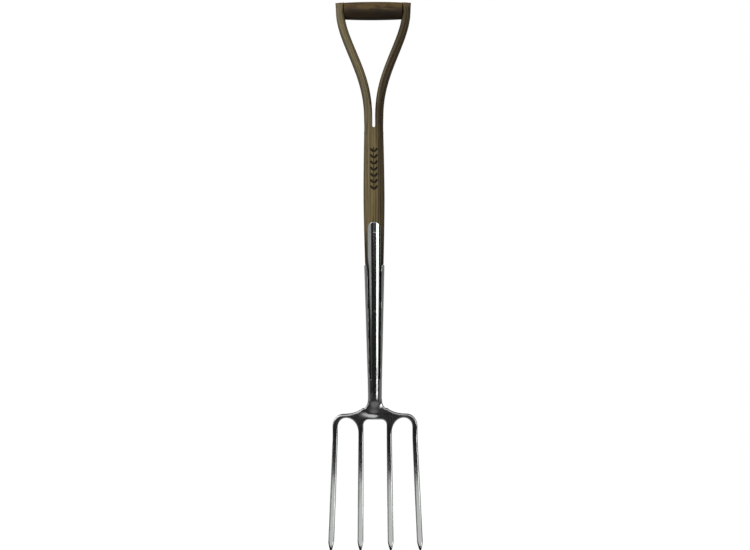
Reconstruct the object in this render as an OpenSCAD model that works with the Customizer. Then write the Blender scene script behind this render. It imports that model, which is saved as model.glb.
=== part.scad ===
// Digging fork with a split ash handle, a strapped socket and a four-tine forged head.
// The frame's origin is the middle of the cross grip, +Z runs up the shaft's axis and the front is -Y.
// A name that ends in _drop is a distance below the axis of the cross grip.

/* [Handle] */
// Diameter of the cross grip at its middle
grip_d = 34; // [30:0.2:36]
// Diameter of the cross grip at its shoulders
grip_end_d = 31.4; // [27:0.2:33]
// Half the distance between the two arms' centre lines at the grip
arm_spread = 61.2; // [54:0.2:68]
// Width of an arm, seen from the front
arm_w = 15.4; // [13:0.2:17]
// Depth of an arm at the grip, front to back
arm_depth = 29; // [26:0.5:32]
// Bottom of the split between the arms
crotch_drop = 215.5; // [200:0.5:235]
// Width of the slot at the bottom of the split
slot_w = 5; // [4:0.1:6]

/* [Shaft] */
// Diameter just below the split
crotch_d = 35.2; // [33:0.2:37]
// Diameter at the belly, the thickest place
belly_d = 39.2; // [37:0.2:41]
// Height of the belly
belly_drop = 350; // [330:5:370]

/* [Socket] */
// Top of the two long tongues
tongue_drop = 390; // [375:1:400]
// Top of the side wings
wing_drop = 469; // [455:1:480]
// Foot of the grooves, where the solid neck begins
groove_drop = 681; // [660:1:690]
// Outer diameter at the top of the wings
socket_d = 37.4; // [35:0.1:38]
// Diameter at the top of the solid neck
neck_d = 26.4; // [24:0.2:28]
// Thickness of the strap steel
strap_t = 2.4; // [2:0.1:3]
// Width of the groove between the front strap and a wing
groove_w = 3; // [2:0.1:4]

/* [Head] */
// Diameter of the neck at its foot, above the crosshead
neck_foot_d = 25.2; // [23:0.2:26]
// Top face of the crosshead
shoulder_drop = 745; // [740:1:750]
// Points of the tines
tip_drop = 995; // [960:5:1040]
// Overall width of the crosshead
head_w = 157; // [150:1:164]
// Front-to-back depth of the crosshead
head_depth = 13; // [11:0.5:15]
// How far the outer tines spread between the crosshead and their points
splay = 8.4; // [4:0.2:12]
// Width of a tine at its root
tine_w = 9.4; // [8:0.1:11]
// Radius of the tines' forward curve
tine_curve_r = 820; // [700:10:1200]

/* [Hidden] */

$fn = 48;
ash = "#6b5b3d";
dark_ash = "#4f422b";
polished = "#b9bcc0";
rivet_grey = "#8d8f92";
eps = 0.01;

// handle
arm_top = 15.8;                // end of an arm above the grip's axis, rounded about that axis
arm_bend_drop = 202;         // the arms start to part here
arm_stem_x = 10.3;           // an arm's centre line below the bend
arm_foot_depth = 30;         // depth that an arm would have at the split if it stayed a rounded bar
arm_swell = 1.2;             // extra width half-way up an arm
arm_rings = 26;
arm_sides = 20;
arm_squareness = 0.72;       // exponent of the section: 1 is an ellipse, 0.5 nearly a box
tenon_d = 20;
tenon_l = 4.5;
arm_inner_x = arm_spread - arm_w / 2;

// rivets
rod_d = 6;
grip_burr_d = 14;
grip_burr_x = arm_spread + arm_w / 2 - 0.5;   // outer face of the grip's burrs
crotch_rivet_d = 4;
crotch_burr_d = 9;
crotch_rivet_drop = 226;
burr_t = 1.4;
strap_rivet_d = 7;
strap_rivet_head_d = 10.4;
upper_rivet_drop = 414;
lower_rivet_drop = 560;

// strap socket
tongue_w = 24.4;
tongue_proud = 0.7;          // how far a tongue's top stands out of the wood
tongue_waist_drop = 484;     // the tongue has narrowed to the strap here
strap_top_w = 19.4;
strap_foot_w = 13.4;
wing_round = 5;

// head
neck_foot_drop = 719;
foot_flare_w = 15.4;         // width and height of the flare at the neck's foot
foot_flare_h = 18.9;
shoulder_w = 39.5;           // width and height of the slope from there out to the corner
shoulder_h = 19.4;
corner_w = 20.4;             // width and height of the rounded corner
corner_h = 22.6;
bar_t = 7.2;                 // crosshead above the outer gaps, seen from the front
root_drop = 790;             // the tines are plain bars below here
inner_root_x = 26.2;
inner_splay = 1.7;
outer_root_x = head_w / 2 - tine_w / 2;
middle_gap_top_drop = 755.5;
middle_gap_r = 10;
gap_apex_x = 53.5;
tine_root_depth = 11;
tine_end_w = 11;
tine_end_depth = 7.4;
tine_chamfer = 0.28;         // part of the half width that a corner's chamfer takes
point_l = 17;
tine_rings = 16;

function smooth(u) = u * u * (3 - 2 * u);
function mix(a, b, t) = a + (b - a) * t;
function arc(cx, cy, rx, ry, from, to, steps = 12) =
    [for (i = [0 : steps]) let (a = mix(from, to, i / steps)) [cx + rx * cos(a), cy + ry * sin(a)]];

// Closed solid through rings of points, from the top ring down. Each ring has as many points as the next.
module loft(rings) {
    n = len(rings[0]);
    m = len(rings);
    sides = [for (i = [0 : m - 2], j = [0 : n - 1]) let (k = (j + 1) % n)
        [i * n + j, i * n + k, (i + 1) * n + k, (i + 1) * n + j]];
    ends = [[for (j = [n - 1 : -1 : 0]) j], [for (j = [0 : n - 1]) (m - 1) * n + j]];
    polyhedron(points = [for (r = rings) each r], faces = concat(sides, ends), convexity = 6);
}

// Radius of the wood: it swells from the split to the belly and tapers from there to the wings.
wing_wood_r = socket_d / 2 - 1.5;
function wood_r(drop) = drop < belly_drop
    ? mix(crotch_d, belly_d, sin(90 * max(0, (drop - crotch_drop) / (belly_drop - crotch_drop)))) / 2
    : mix(belly_d / 2, wing_wood_r, pow((drop - belly_drop) / (wing_drop - belly_drop), 1.4));

// Outer radius of the socket and the tongues above it.
function socket_r(drop) = drop > wing_drop
    ? mix(socket_d, neck_d, (drop - wing_drop) / (groove_drop - wing_drop)) / 2
    : mix(socket_d / 2, wood_r(tongue_drop) + tongue_proud, (wing_drop - drop) / (wing_drop - tongue_drop));

// ---- handle

function arm_x(z) = z > 0 ? arm_spread + 0.07 * z
    : mix(arm_stem_x, arm_spread, smooth(pow(max(0, 1 + z / arm_bend_drop), 1.25)));

// Half of the split shaft as seen from an arm's centre line: distance to the flat or to the round.
function half_round(a, r) = let (
        round_side = sqrt(r * r - pow(arm_stem_x * sin(a), 2)) - arm_stem_x * cos(a)
    ) cos(a) < 0 ? min(round_side, (arm_stem_x - slot_w / 2) / -cos(a)) : round_side;

// One ring of an arm, square to its centre line: half round at the split, a rounded bar further up.
// full thins the ring, front to back, at the arm's rounded end.
function arm_ring(z, full = 1) = let (
        up = (z + crotch_drop) / (crotch_drop + arm_top),
        lean = atan((arm_x(z + 1) - arm_x(z - 1)) / 2),
        w = (arm_w + arm_swell * sin(180 * up)) / 2,
        d = mix(arm_foot_depth, arm_depth, up) / 2 * full,
        foot_r = mix(crotch_d / 2 - 0.05, arm_stem_x + arm_w / 2, min(1, up * 12)),
        bar = smooth(min(1, up * 2.6))
    ) [for (i = [0 : arm_sides - 1]) let (
        a = 360 * i / arm_sides,
        u = w * sign(cos(a)) * pow(abs(cos(a)), arm_squareness),
        v = d * sign(sin(a)) * pow(abs(sin(a)), arm_squareness),
        r = half_round(a, foot_r),
        across = mix(r * cos(a), u, bar)
    ) [arm_x(z) + across * cos(lean), mix(r * sin(a), v, bar), z - across * sin(lean)]];

module arm() {
    rounded = [for (a = [80 : -16 : 16]) arm_ring(arm_top * sin(a), cos(a))];
    straight = [for (i = [0 : arm_rings]) arm_ring(-crotch_drop * i / arm_rings)];
    loft(concat(rounded, straight));
}

module both_sides() {
    children();
    mirror([1, 0, 0]) children();
}

module along_x(length, d) {
    rotate([0, 90, 0]) cylinder(h = length, d = d, center = true);
}

// Turned solid of the shaft below the split, with the taper that the socket holds.
module shaft_turning() {
    outside = [
        for (i = [0 : 14]) let (drop = mix(crotch_drop - slot_w, wing_drop, i / 14)) [wood_r(drop), -drop]
    ];
    inside = [[socket_r(wing_drop) - strap_t, -wing_drop], [socket_r(groove_drop) - strap_t, -groove_drop]];
    rotate_extrude() polygon(concat([[0, -crotch_drop + slot_w]], outside, inside, [[0, -groove_drop]]));
}

module split_slot() {
    translate([0, 0, -crotch_drop + slot_w / 2]) rotate([90, 0, 0]) linear_extrude(60, center = true) {
        circle(d = slot_w);
        translate([-slot_w / 2, 0]) square([slot_w, 20]);
    }
}

module ash_shaft() {
    color(ash) difference() {
        union() {
            shaft_turning();
            both_sides() arm();
        }
        split_slot();
        tongue_shell();
        mirror([0, 1, 0]) tongue_shell();
        along_x(2 * (arm_inner_x + tenon_l), tenon_d);
        along_x(4 * arm_spread, rod_d);
        both_sides() translate([grip_burr_x - burr_t + 5, 0, 0]) along_x(10, grip_burr_d);
        translate([0, 0, -crotch_rivet_drop]) {
            along_x(60, crotch_rivet_d);
            both_sides() translate([crotch_burr_x() - burr_t + 5, 0, 0]) along_x(10, crotch_burr_d);
        }
        for (drop = [upper_rivet_drop, lower_rivet_drop]) rivet_shank(drop);
    }
}

// Turned barrel with a stub tenon at each end, let into the arms.
module cross_grip() {
    barrel = [for (i = [0 : 20]) let (x = mix(-arm_inner_x, arm_inner_x, i / 20))
        [mix(grip_d, grip_end_d, pow(abs(x) / arm_inner_x, 2.2)) / 2, x]];
    end_x = arm_inner_x + tenon_l;
    color(dark_ash) rotate([0, 90, 0]) rotate_extrude() polygon(concat(
        [[rod_d / 2, -end_x], [tenon_d / 2, -end_x], [tenon_d / 2, -arm_inner_x]],
        barrel,
        [[tenon_d / 2, arm_inner_x], [tenon_d / 2, end_x], [rod_d / 2, end_x]]
    ));
}

// ---- rods, rivets and their burrs

function crotch_burr_x() = wood_r(crotch_rivet_drop) - 0.5;

// Round rod along X, headed over a burr at each end.
module headed_rod(d, half_length) {
    head = 0.8;
    color(rivet_grey) rotate([0, 90, 0]) rotate_extrude() polygon([
        [0, -half_length - head], [d * 0.55, -half_length - head * 0.5], [d * 0.7, -half_length],
        [d / 2, -half_length], [d / 2, half_length],
        [d * 0.7, half_length], [d * 0.55, half_length + head * 0.5], [0, half_length + head]
    ]);
}

module burr(x, d, hole_d) {
    color(rivet_grey) translate([x - burr_t / 2, 0, 0]) difference() {
        along_x(burr_t, d);
        along_x(burr_t + 1, hole_d);
    }
}

module grip_rod() {
    headed_rod(rod_d, grip_burr_x);
}

module right_grip_burr() {
    burr(grip_burr_x, grip_burr_d, rod_d);
}

module left_grip_burr() {
    mirror([1, 0, 0]) right_grip_burr();
}

module crotch_rivet() {
    translate([0, 0, -crotch_rivet_drop]) headed_rod(crotch_rivet_d, crotch_burr_x());
}

module right_crotch_burr() {
    translate([0, 0, -crotch_rivet_drop]) burr(crotch_burr_x(), crotch_burr_d, crotch_rivet_d);
}

module left_crotch_burr() {
    mirror([1, 0, 0]) right_crotch_burr();
}

// Shank and countersunk heads of a strap rivet, longer than the socket is thick.
module rivet_shank(drop) {
    sink = (strap_rivet_head_d - strap_rivet_d) / 2;
    r = socket_r(drop);
    translate([0, 0, -drop]) rotate([90, 0, 0]) {
        cylinder(h = 60, d = strap_rivet_d, center = true);
        for (s = [-1, 1]) scale([1, 1, s]) translate([0, 0, r - sink - 0.6]) {
            cylinder(h = sink, d1 = strap_rivet_d, d2 = strap_rivet_head_d);
            translate([0, 0, sink - eps]) cylinder(h = 6, d = strap_rivet_head_d);
        }
    }
}

// The rivet, dressed flush with the straps.
module strap_rivet(drop) {
    color(polished) intersection() {
        rivet_shank(drop);
        socket_solid();
    }
}

module upper_strap_rivet() {
    strap_rivet(upper_rivet_drop);
}

module lower_strap_rivet() {
    strap_rivet(lower_rivet_drop);
}

// ---- strapped socket

// Outside of the socket and the tongues as a full turning.
module socket_solid() {
    rotate_extrude() polygon([
        [0, -tongue_drop], [socket_r(tongue_drop), -tongue_drop], [socket_r(wing_drop), -wing_drop],
        [socket_r(groove_drop), -groove_drop], [0, -groove_drop]
    ]);
}

// Wall of the socket as a full turning.
module socket_wall() {
    rotate_extrude() polygon([
        [socket_r(tongue_drop), -tongue_drop], [socket_r(wing_drop), -wing_drop],
        [socket_r(groove_drop), -groove_drop], [socket_r(groove_drop) - strap_t, -groove_drop],
        [socket_r(wing_drop) - strap_t, -wing_drop], [socket_r(tongue_drop) - strap_t, -tongue_drop]
    ]);
}

// Half width of the front strap at a height, below the tongue.
function strap_half(drop) =
    mix(strap_top_w, strap_foot_w, (drop - tongue_waist_drop) / (groove_drop - tongue_waist_drop)) / 2;

// Outline of a strap with its round-topped tongue, grown by the given width.
module strap_outline(grow = 0) {
    tongue_r = tongue_w / 2;
    side = [
        [tongue_r, 14 - wing_drop],
        [strap_half(tongue_waist_drop), -tongue_waist_drop],
        [strap_half(groove_drop), -groove_drop]
    ];
    polygon(concat(
        arc(0, -tongue_drop - tongue_r, tongue_r + grow, tongue_r + grow, 0, 180, 24),
        [for (p = side) [-p[0] - grow, p[1]]],
        [for (i = [2 : -1 : 0]) [side[i][0] + grow, side[i][1]]]
    ));
}

// Half space in front of the axis, cut to an outline in the XZ plane.
module front_cut() {
    rotate([90, 0, 0]) linear_extrude(40) children();
}

// The front tongue above the wings: this much of the wood is cut away for it.
module tongue_shell() {
    intersection() {
        socket_wall();
        front_cut() intersection() {
            strap_outline();
            translate([-30, -wing_drop]) square([60, 120]);
        }
    }
}

module front_strap() {
    intersection() {
        socket_wall();
        front_cut() strap_outline();
    }
}

// Back half of the socket: a tongue like the front one, and wings that wrap round to the grooves.
module rear_strap() {
    color(polished) difference() {
        intersection() {
            socket_wall();
            rotate([90, 0, 0]) linear_extrude(80, center = true) union() {
                strap_outline();
                wing_body();
            }
        }
        front_cut() {
            strap_outline(groove_w);
            translate([-30, -wing_drop]) square([60, 120]);
        }
        rivet_shank(upper_rivet_drop);
        rivet_shank(lower_rivet_drop);
    }
}

// Front view of the wings, with rounded top corners.
module wing_body() {
    x = socket_d / 2 + 1 - wing_round;
    polygon(concat(
        arc(x, -wing_drop - wing_round, wing_round, wing_round, 0, 90, 8),
        arc(-x, -wing_drop - wing_round, wing_round, wing_round, 90, 180, 8),
        [[-x - wing_round, -groove_drop], [x + wing_round, -groove_drop]]
    ));
}

// ---- forged head

// Solid round neck with a rounded foot inside the crosshead.
module neck() {
    foot_r = neck_foot_d / 2;
    rotate_extrude() polygon(concat(
        [[0, -groove_drop], [neck_d / 2, -groove_drop], [foot_r, -neck_foot_drop]],
        [for (a = [10 : 10 : 90]) [foot_r * cos(a), -neck_foot_drop - 24 * sin(a)]]
    ));
}

// Right half of the crosshead's front outline, from the axis round to the axis again.
function crosshead_half() = let (half = head_w / 2, top = -shoulder_drop, level_x = half - corner_w) concat(
    [[0, -neck_foot_drop]],
    arc(neck_foot_d / 2 + foot_flare_w, -neck_foot_drop, foot_flare_w, foot_flare_h, 180, 234, 8),
    arc(level_x, top + shoulder_h, shoulder_w, shoulder_h, 208, 270),
    arc(level_x, top - corner_h, corner_w, corner_h, 90, 0),
    [[half, -root_drop], [half - tine_w, -root_drop]],
    outer_gap_arch(),
    [[inner_root_x + tine_w / 2, -root_drop], [inner_root_x - tine_w / 2, -root_drop]],
    arc(inner_root_x - tine_w / 2 - middle_gap_r, -middle_gap_top_drop - middle_gap_r,
        middle_gap_r, middle_gap_r, 0, 90, 8),
    [[0, -middle_gap_top_drop]]
);

// Arch over an outer gap: tight at the outer tine, long where it runs down to the inner tine as a gusset.
function outer_gap_arch() = let (
        apex = -shoulder_drop - bar_t, far = head_w / 2 - tine_w, near = inner_root_x + tine_w / 2
    ) concat(
        arc(gap_apex_x, apex - 17, far - gap_apex_x, 17, 0, 90, 8),
        [for (a = [100 : 10 : 180]) [gap_apex_x + (gap_apex_x - near) * cos(a), apex - 27 + 27 * sin(a)]]
    );

module crosshead() {
    rotate([90, 0, 0]) linear_extrude(head_depth, center = true) {
        polygon(crosshead_half());
        mirror([1, 0]) polygon(crosshead_half());
    }
}

// The tines' middle line, seen from the side: it curves forward from the crosshead down.
function tine_y(drop) = -pow(drop - shoulder_drop - bar_t, 2) / (2 * tine_curve_r);

// Chamfered rectangle as one ring of a tine.
function tine_ring(x, drop, w, d) = let (c = tine_chamfer) [
    for (p = [
        [1, c - 1], [1, 1 - c], [1 - c, 1], [c - 1, 1],
        [-1, 1 - c], [-1, c - 1], [c - 1, -1], [1 - c, -1]
    ])
        [x + p[0] * w / 2, tine_y(drop) + p[1] * d / 2, -drop]
];

module tine(root_x, spread) {
    end_drop = tip_drop - point_l;
    function x(drop) = root_x + spread * (drop - root_drop) / (tip_drop - root_drop);
    bar = [for (i = [0 : tine_rings]) let (
            t = i / tine_rings, drop = mix(root_drop - 12, end_drop, t)
        ) tine_ring(x(drop), drop, mix(tine_w, tine_end_w, t), mix(tine_root_depth, tine_end_depth, t))];
    point = [
        tine_ring(x(end_drop + point_l / 2), end_drop + point_l / 2, tine_end_w * 0.78, tine_end_depth * 0.8),
        tine_ring(x(tip_drop), tip_drop, 3.2, 2.6)
    ];
    loft(concat(bar, point));
}

module tine_head() {
    color(polished) difference() {
        union() {
            front_strap();
            neck();
            crosshead();
            both_sides() {
                tine(inner_root_x, inner_splay);
                tine(outer_root_x, splay);
            }
        }
        rivet_shank(upper_rivet_drop);
        rivet_shank(lower_rivet_drop);
    }
}

ash_shaft();
cross_grip();
grip_rod();
left_grip_burr();
right_grip_burr();
crotch_rivet();
left_crotch_burr();
right_crotch_burr();
tine_head();
rear_strap();
upper_strap_rivet();
lower_strap_rivet();
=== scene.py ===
import math
import bmesh
import bpy
import numpy as np
from mathutils import Matrix, Vector


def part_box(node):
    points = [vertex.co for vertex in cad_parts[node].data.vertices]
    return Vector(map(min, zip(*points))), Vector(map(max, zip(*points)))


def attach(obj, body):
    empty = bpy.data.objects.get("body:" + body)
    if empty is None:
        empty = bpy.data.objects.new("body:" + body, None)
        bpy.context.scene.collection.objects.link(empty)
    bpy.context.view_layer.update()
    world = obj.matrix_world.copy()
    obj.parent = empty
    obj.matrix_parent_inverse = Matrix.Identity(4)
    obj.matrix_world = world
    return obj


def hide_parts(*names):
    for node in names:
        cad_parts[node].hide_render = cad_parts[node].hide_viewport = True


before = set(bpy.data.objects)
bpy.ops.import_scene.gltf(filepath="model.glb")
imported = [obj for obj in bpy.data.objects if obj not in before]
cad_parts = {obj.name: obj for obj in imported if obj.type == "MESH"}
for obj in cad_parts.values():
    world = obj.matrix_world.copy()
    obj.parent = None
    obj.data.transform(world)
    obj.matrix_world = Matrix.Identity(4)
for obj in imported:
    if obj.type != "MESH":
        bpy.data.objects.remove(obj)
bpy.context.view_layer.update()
mm = 0.001
farOff = 0.05                   # a distance that stands for nowhere near


def mix(a, b, t):
    return a + (b - a) * t


def ease(t):
    # 0 to 1 with a soft start and a soft end
    t = np.clip(t, 0.0, 1.0)
    return t * t * (3 - 2 * t)


def arcPoints(cx, cz, rx, rz, start, stop, steps):
    angles = np.radians(np.linspace(start, stop, steps + 1))
    return [(cx + rx * math.cos(a), cz + rz * math.sin(a)) for a in angles]


def roundOf(sides):
    # cosine and sine all round a circle
    angles = [2 * math.pi * i / sides for i in range(sides)]
    return [(math.cos(a), math.sin(a)) for a in angles]


def meshObject(name, verts, faces):
    mesh = bpy.data.meshes.new(name)
    mesh.from_pydata([tuple(v) for v in verts], [], [tuple(f) for f in faces])
    mesh.update()
    bm = bmesh.new()
    bm.from_mesh(mesh)
    bmesh.ops.recalc_face_normals(bm, faces=bm.faces)
    bm.to_mesh(mesh)
    bm.free()
    mesh.polygons.foreach_set("use_smooth", [True] * len(mesh.polygons))
    piece = bpy.data.objects.new(name, mesh)
    bpy.context.scene.collection.objects.link(piece)
    return piece


def skinned(name, rings, closed=False):
    # quads from ring to ring; an open run also gets a flat face at each end
    sides = len(rings[0])
    verts = [point for ring in rings for point in ring]
    faces = []
    for k in range(len(rings) if closed else len(rings) - 1):
        here, there = k * sides, (k + 1) % len(rings) * sides
        for i in range(sides):
            j = (i + 1) % sides
            faces.append((here + i, here + j, there + j, there + i))
    if not closed:
        faces.append(tuple(range(sides)))
        faces.append(tuple(reversed(range(len(verts) - sides, len(verts)))))
    return meshObject(name, verts, faces)


def turned(name, profile, sides, z=0.0, closed=False):
    # turns (radius, x) pairs about an axis along X
    rings = [[(x, r * cosA, z + r * sinA) for cosA, sinA in roundOf(sides)] for r, x in profile]
    return skinned(name, rings, closed)


def vertexArray(mesh):
    co = np.zeros(len(mesh.vertices) * 3)
    mesh.vertices.foreach_get("co", co)
    return co.reshape(-1, 3)


def storeVector(mesh, name, values):
    layer = mesh.attributes.new(name, "FLOAT_VECTOR", "POINT")
    layer.data.foreach_set("vector", np.asarray(values, float).ravel())


def addPiece(piece, material, slotName, *cadNodes):
    piece.data.materials.clear()
    piece.data.materials.append(material)
    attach(piece, "root")
    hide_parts(*cadNodes)


class Sock:
    # an output socket that takes part in ordinary expressions
    def __init__(self, owner, socket):
        self.owner, self.socket = owner, socket

    def calc(self, how, *values):
        return self.owner.node("ShaderNodeMath", {"operation": how}, dict(enumerate(values)))

    def __add__(self, other):
        return self.calc("ADD", self, other)

    def __radd__(self, other):
        return self.calc("ADD", other, self)

    def __sub__(self, other):
        return self.calc("SUBTRACT", self, other)

    def __rsub__(self, other):
        return self.calc("SUBTRACT", other, self)

    def __mul__(self, other):
        return self.calc("MULTIPLY", self, other)

    def __rmul__(self, other):
        return self.calc("MULTIPLY", other, self)

    def __truediv__(self, other):
        return self.calc("DIVIDE", self, other)

    def __rtruediv__(self, other):
        return self.calc("DIVIDE", other, self)

    def __abs__(self):
        return self.calc("ABSOLUTE", self)

    def root(self):
        return self.calc("SQRT", self)

    def fraction(self):
        return self.calc("FRACT", self)

    def atLeast(self, other):
        return self.calc("MAXIMUM", self, other)

    def clamped(self):
        # held between 0 and 1
        return self.calc("MINIMUM", self, 1.0).atLeast(0.0)

    def between(self, low, high):
        # 0 below low, 1 above high, eased between
        values = {"Value": self, "From Min": low, "From Max": high}
        return self.owner.node("ShaderNodeMapRange", {"interpolation_type": "SMOOTHSTEP"}, values)


class Nodes:
    # a node tree, with one way to add a node to it
    def __init__(self, tree):
        self.tree = tree

    def node(self, kind, settings=None, values=None, out=0):
        made = self.tree.nodes.new(kind)
        for key, value in (settings or {}).items():
            if key == "stops":
                self.setStops(made.color_ramp, value)
            else:
                setattr(made, key, value)
        for key, value in (values or {}).items():
            self.plug(made.inputs[key], value)
        return Sock(self, made.outputs[out])

    def setStops(self, ramp, stops):
        while len(ramp.elements) < len(stops):
            ramp.elements.new(1.0)
        for element, (place, colour) in zip(ramp.elements, stops):
            element.position = place
            element.color = colour

    def plug(self, target, value):
        if isinstance(value, Sock):
            self.tree.links.new(value.socket, target)
        else:
            target.default_value = value

    def split(self, vector):
        # a vector's three numbers
        parts = self.node("ShaderNodeSeparateXYZ", {}, {0: vector}).socket.node.outputs
        return [Sock(self, part) for part in parts]


class Finish(Nodes):
    # a material with one Principled shader
    def __init__(self, name, constants):
        self.material = bpy.data.materials.new(name)
        self.material.use_nodes = True
        super().__init__(self.material.node_tree)
        self.shader = self.tree.nodes["Principled BSDF"]
        for key, value in constants.items():
            self.shader.inputs[key].default_value = value

    def feed(self, name, value):
        self.plug(self.shader.inputs[name], value)

    def blend(self, a, b, t):
        # mixes two colours by t
        settings = {"data_type": "RGBA", "clamp_factor": True}
        return self.node("ShaderNodeMix", settings, {0: t, 6: a, 7: b}, out=2)

    def noise(self, vector, scale, detail=2.0, rough=0.5):
        # a scale for each axis draws the pattern out along the axis with the smallest
        if isinstance(scale, tuple):
            vector = self.node("ShaderNodeVectorMath", {"operation": "MULTIPLY"}, {0: vector, 1: scale})
            scale = 1.0
        values = {"Vector": vector, "Scale": scale, "Detail": detail, "Roughness": rough}
        return self.node("ShaderNodeTexNoise", {"noise_dimensions": "3D"}, values)

    def bump(self, height, distance, strength):
        values = {"Height": height, "Distance": distance, "Strength": strength}
        self.feed("Normal", self.node("ShaderNodeBump", {}, values))


stageSet = {
    "lens": 130.0,              # long lens, so the fork keeps straight lines
    "sensor": 36.0,
    "distance": 5.011,
    "aimX": 0.00115,
    "aimZ": -0.4883,
    "roll": 0.25,               # degrees that the shaft's top leans to the left
    "farEnd": 60.0,
    "floorSize": 1.8,
    "floorDrop": 0.0006,        # the floor lies just under the tines' points
    "floorColour": (0.86, 0.86, 0.86, 1),
    "floorGlow": 0.72,
    "lightsAimZ": -0.55,        # the height that every light is turned to
}


def makeCamera(s):
    data = bpy.data.cameras.new("camera")
    data.lens = s["lens"]
    data.sensor_width = s["sensor"]
    data.clip_end = s["farEnd"]
    cam = bpy.data.objects.new("camera", data)
    bpy.context.scene.collection.objects.link(cam)
    cam.matrix_world = (Matrix.Translation((s["aimX"], -s["distance"], s["aimZ"]))
                        @ Matrix.Rotation(math.radians(90), 4, "X")
                        @ Matrix.Rotation(math.radians(-s["roll"]), 4, "Z"))
    bpy.context.scene.camera = cam


def makeFloor(s):
    half = s["floorSize"] / 2
    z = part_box("tine_head")[0].z - s["floorDrop"]
    corners = [(-half, -half, z), (half, -half, z), (half, half, z), (-half, half, z)]
    floor = meshObject("floor", corners, [(0, 1, 2, 3)])
    paint = Finish("paleFloor", {"Base Color": s["floorColour"], "Roughness": 0.8,
                                 "Emission Color": (1, 1, 1, 1), "Emission Strength": s["floorGlow"]})
    floor.data.materials.append(paint.material)
    floor.visible_diffuse = floor.visible_glossy = False


lightSet = {
    # centre, size across and up, radiance
    "keyRight": ((1.55, -2.05, -0.47), (1.15, 0.80), 2.0),
    "tineGlow": ((0.75, -2.45, 0.67), (3.4, 2.16), 0.60),
    "leftTop": ((-2.2, -1.5, 1.7), (2.8, 3.0), 2.3),
    "stripLeft": ((-2.16, -1.15, -0.25), (2.4, 0.95), 0.40),
    "sideRight": ((2.6, 0.6, -0.3), (2.4, 2.2), 0.15),
    "sideLeft": ((-2.6, 0.9, -0.3), (2.4, 2.2), 0.14),
    "fillRight": ((3.0, -0.3, 0.5), (1.6, 2.0), 1.3),
    "backRight": ((1.9, 2.1, 0.1), (1.5, 2.6), 0.20),
    "backLeft": ((-1.9, 2.1, 0.1), (1.5, 2.6), 0.22),
    "backTop": ((-1.2, 1.6, 1.9), (1.8, 1.6), 0.45),
}


def makeLights(s, aimZ):
    aim = Vector((0, 0, aimZ))
    for name, (place, (wide, high), radiance) in s.items():
        data = bpy.data.lights.new(name, "AREA")
        data.shape = "RECTANGLE"
        data.size, data.size_y = wide, high
        data.energy = radiance * math.pi * wide * high
        lamp = bpy.data.objects.new(name, data)
        lamp.location = place
        lamp.rotation_euler = (aim - Vector(place)).to_track_quat("-Z", "Y").to_euler()
        lamp.visible_camera = False
        # the fill lights the wood's right side and leaves no streak on the steel
        lamp.visible_glossy = not name.startswith("fill")
        bpy.context.scene.collection.objects.link(lamp)


surroundSet = {
    # grey from straight down to straight up: darkest level with the fork, as over a light studio floor
    "greys": ((0.0, 0.20), (0.22, 0.16), (0.36, 0.045), (0.45, 0.012), (0.56, 0.014), (0.75, 0.06),
              (1.0, 0.10)),
}


def makeWorld(s):
    # the camera sees a plain white surround, and the fork is lit by a dim one
    world = bpy.data.worlds.new("surround")
    bpy.context.scene.world = world
    world.use_nodes = True
    t = Nodes(world.node_tree)
    dim = t.tree.nodes["Background"]
    direction = t.node("ShaderNodeTexCoord", out="Generated")
    z = t.split(direction)[2]
    height = t.node("ShaderNodeMapRange", {}, {"Value": z, "From Min": -1, "From Max": 1})
    stops = [(place, (grey, grey, grey, 1)) for place, grey in s["greys"]]
    t.plug(dim.inputs["Color"], t.node("ShaderNodeValToRGB", {"stops": stops}, {0: height}))
    white = t.node("ShaderNodeBackground", {}, {"Color": (1, 1, 1, 1)})
    seen = t.node("ShaderNodeLightPath", out="Is Camera Ray")
    join = t.node("ShaderNodeMixShader", {}, {0: seen, 1: Sock(t, dim.outputs[0]), 2: white})
    t.plug(t.tree.nodes["World Output"].inputs["Surface"], join)


makeCamera(stageSet)
makeFloor(stageSet)
makeLights(lightSet, stageSet["lightsAimZ"])
makeWorld(surroundSet)
bpy.context.scene.view_settings.view_transform = "Standard"
print("camera, floor and lights ready")


woodLook = {
    "dark": (0.060, 0.038, 0.014, 1),
    "pithX": 0.034,             # the tree's heart lies outside the stick, to the right
    "pithY": 0.011,
    "ringWander": 0.022,
    "wanderScale": (9, 9, 2.1),         # each is across, through and along the grain
    "streakScale": (420, 420, 7),
    "broadScale": (60, 60, 3.2),
    "poreScale": (1500, 1500, 42),
    "toneShift": 0.34,
    "stopPlaces": (0.10, 0.48, 0.95),   # where the dark, middle and light tones lie
}


def grainBase(f, s):
    # growth rings, long streaks and pores, all drawn out along the grain
    grain = f.node("ShaderNodeAttribute", {"attribute_name": "grain"}, out="Vector")
    wander = f.noise(grain, s["wanderScale"])
    across, depth, _ = f.split(grain)
    dx = across - s["pithX"]
    dy = depth - s["pithY"]
    radius = (dx * dx + dy * dy).root() + wander * s["ringWander"]
    ring = (radius / s["ringPitch"]).fraction()
    earlyWood = ring.between(0.0, 0.35) * (1 - ring.between(0.62, 1.0))
    streak = f.noise(grain, s["streakScale"], 4.0, 0.62)
    broad = f.noise(grain, s["broadScale"])
    pore = f.noise(grain, s["poreScale"], 2.0, 0.55).between(0.56, 0.68)
    rings = (1 - earlyWood) * s["ringContrast"]
    tone = (streak - 0.5) * 1.25 + (broad - 0.5) * 1.1 + rings + s["toneShift"]
    stops = list(zip(s["stopPlaces"], (s["dark"], s["mid"], s["light"])))
    colour = f.node("ShaderNodeValToRGB", {"stops": stops}, {0: tone.clamped()})
    pores = (pore * earlyWood * 0.8 + pore * 0.25).clamped()
    colour = f.blend(colour, s["pore"], pores * s["poreDark"])
    return grain, colour, pores, streak, earlyWood


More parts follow.
